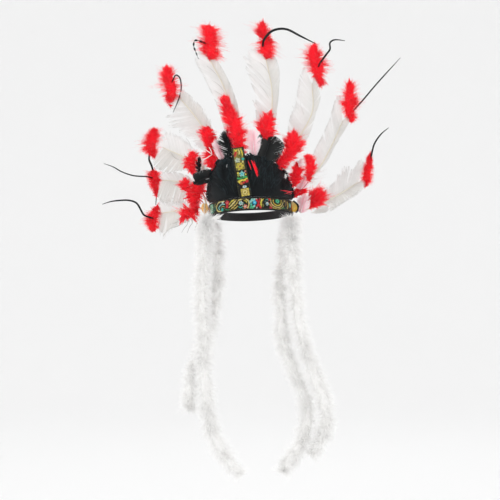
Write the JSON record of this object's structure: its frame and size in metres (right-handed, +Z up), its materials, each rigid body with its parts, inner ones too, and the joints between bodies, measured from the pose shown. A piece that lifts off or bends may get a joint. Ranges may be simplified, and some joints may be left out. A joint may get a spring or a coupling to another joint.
{
  "type": "feathered headdress",
  "caption": "Headdress with a ribbon headband, black feather crest, a halo of white quill feathers with red down tips and black filaments, and white down boas hanging at the temples.",
  "frame": {"origin": "the middle of the head hollow, 6 mm over the band's mid height there, where the headdress sits on a head (mount head_seat)", "axes": "+Z up the wearer's head, -Y the front of the face, +X the wearer's left"},
  "size_m": [0.5392, 0.2573, 0.7861],
  "materials": {
    "band_cloth": "black woven cloth, matt",
    "elastic": "black ribbed elastic, matt",
    "woven_ribbon": "woven brocade in gold, teal, green and red on black",
    "felt": "black felt, matt",
    "black_hackle": "blue-green black feather, soft sheen",
    "black_feather": "glossy black feather",
    "white_feather": "white quill feather, soft, with an ivory shaft",
    "red_down": "bright red down, matt and fluffy",
    "black_filament": "black stripped quill, slight gloss",
    "pink_feather": "pale pink feather, soft",
    "amber_feather": "amber feather barred with dark brown",
    "white_down": "white down, matt and fluffy"
  },
  "bodies": {
    "root": {"back_elastic": "elastic", "band_ribbon": "woven_ribbon", "black_crest": "black_hackle", "black_feather_1": "black_feather", "black_feather_2": "black_feather", "black_feather_3": "black_feather", "black_feather_4": "black_feather", "boa_left_front": "white_down", "boa_left_rear": "white_down", "boa_right_inner": "white_down", "boa_right_outer": "white_down", "centre_ribbon": "woven_ribbon", "crest_felt": "felt", "filament_1": "black_filament", "filament_2": "black_filament", "filament_3": "black_filament", "filament_4": "black_filament", "filament_5": "black_filament", "filament_6": "black_filament", "filament_7": "black_filament", "filament_8": "black_filament", "filament_9": "black_filament", "headband": "band_cloth", "pink_feather_1": "pink_feather", "pink_feather_2": "pink_feather", "pink_feather_3": "pink_feather", "pink_feather_4": "pink_feather", "red_plume_1": "red_down", "red_plume_10": "red_down", "red_plume_11": "red_down", "red_plume_12": "red_down", "red_plume_13": "red_down", "red_plume_2": "red_down", "red_plume_3": "red_down", "red_plume_4": "red_down", "red_plume_5": "red_down", "red_plume_6": "red_down", "red_plume_7": "red_down", "red_plume_8": "red_down", "red_plume_9": "red_down", "red_tip_1": "red_down", "red_tip_2": "red_down", "red_tip_3": "red_down", "red_tip_4": "red_down", "red_tip_5": "red_down", "red_tip_6": "red_down", "red_tip_7": "red_down", "red_tip_8": "red_down", "red_tip_9": "red_down", "temple_feather_left": "amber_feather", "temple_feather_right": "amber_feather", "white_feather_1": "white_feather", "white_feather_2": "white_feather", "white_feather_3": "white_feather", "white_feather_4": "white_feather", "white_feather_5": "white_feather", "white_feather_6": "white_feather", "white_feather_7": "white_feather", "white_feather_8": "white_feather", "white_feather_9": "white_feather"}
  },
  "joints": []
}
